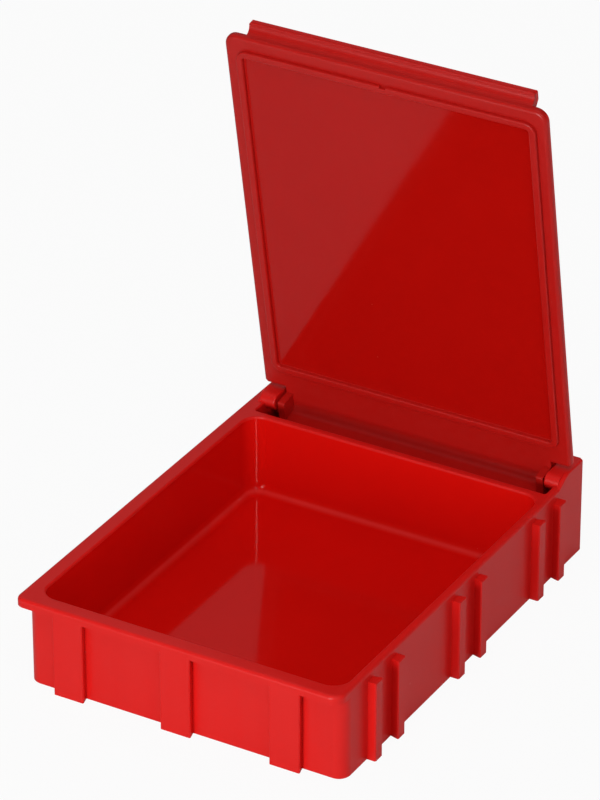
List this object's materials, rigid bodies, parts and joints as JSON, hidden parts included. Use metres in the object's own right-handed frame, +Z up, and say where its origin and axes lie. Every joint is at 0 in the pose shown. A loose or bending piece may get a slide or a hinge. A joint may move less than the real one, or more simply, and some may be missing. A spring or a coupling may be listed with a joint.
{
  "type": "smd component box",
  "caption": "Small red plastic component box with a spring lid on rear pins and dovetails on all sides that join it to its neighbours.",
  "frame": {"origin": "middle of the tray's underside", "axes": "+X to the right along the front, +Y to the back where the hinge is, +Z up"},
  "size_m": [0.0524, 0.0716, 0.0781],
  "materials": {
    "red_plastic": "moulded red plastic, satin outside and polished inside",
    "spring_steel": "rolled spring strip"
  },
  "bodies": {
    "tray": {"base_tray": "red_plastic", "lid_spring": "spring_steel"},
    "lid": {"lid": "red_plastic"}
  },
  "joints": [
    {"name": "lid_hinge", "type": "hinge", "parent": "tray", "child": "lid", "pos_m": [0, 0.02945, 0.0124], "axis": [1, 0, 0], "range_deg": [0, 79.75], "stiffness_Nm_per_rad": 0.0015, "springref_deg": -20.05, "deforming": ["lid_spring"]}
  ]
}
